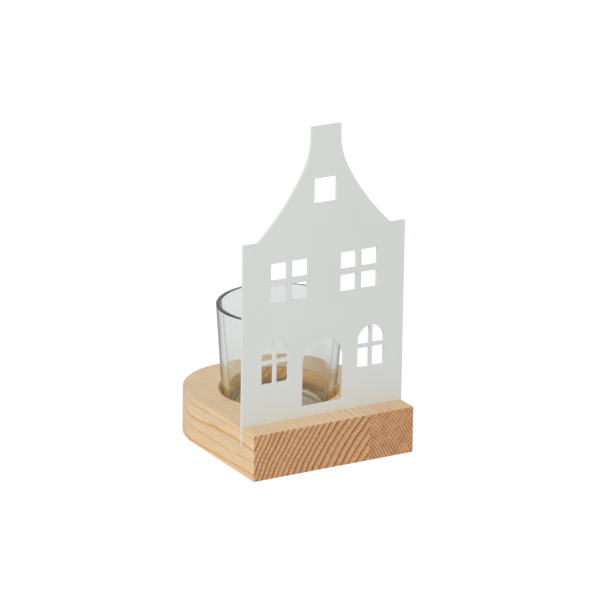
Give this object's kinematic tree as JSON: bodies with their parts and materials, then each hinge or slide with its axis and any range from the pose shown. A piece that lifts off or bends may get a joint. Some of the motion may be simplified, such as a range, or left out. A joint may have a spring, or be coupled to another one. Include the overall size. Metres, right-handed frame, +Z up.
{
  "type": "tealight house",
  "caption": "Tealight holder: a round-backed pine base with a clear glass cup in a recess, and in front of it a white sheet-steel house front with a bell gable, arched door and windows.",
  "frame": {"origin": "middle of the bounding box at table level, under the pine base", "axes": "+X to the right as the house front is seen, +Y to the back, away from the house front, +Z up"},
  "size_m": [0.0804, 0.0894, 0.1529],
  "materials": {
    "pine_wide": "sanded, oiled pine",
    "pine_narrow": "sanded, oiled pine",
    "white_sheet": "matt white powder coat on steel sheet",
    "clear_glass": "clear pressed soda-lime glass, faintly green"
  },
  "bodies": {
    "base": {"base_board_wide": "pine_wide", "base_board_narrow": "pine_narrow"},
    "facade": {"facade_panel": "white_sheet"},
    "glass": {"glass_cup": "clear_glass"}
  },
  "joints": [
    {"name": "facade_lift", "type": "slide", "parent": "base", "child": "facade", "axis": [0, 0, 1], "range_m": [0, 0.03]},
    {"name": "glass_lift", "type": "slide", "parent": "base", "child": "glass", "axis": [0, 0, 1], "range_m": [0, 0.06]}
  ]
}
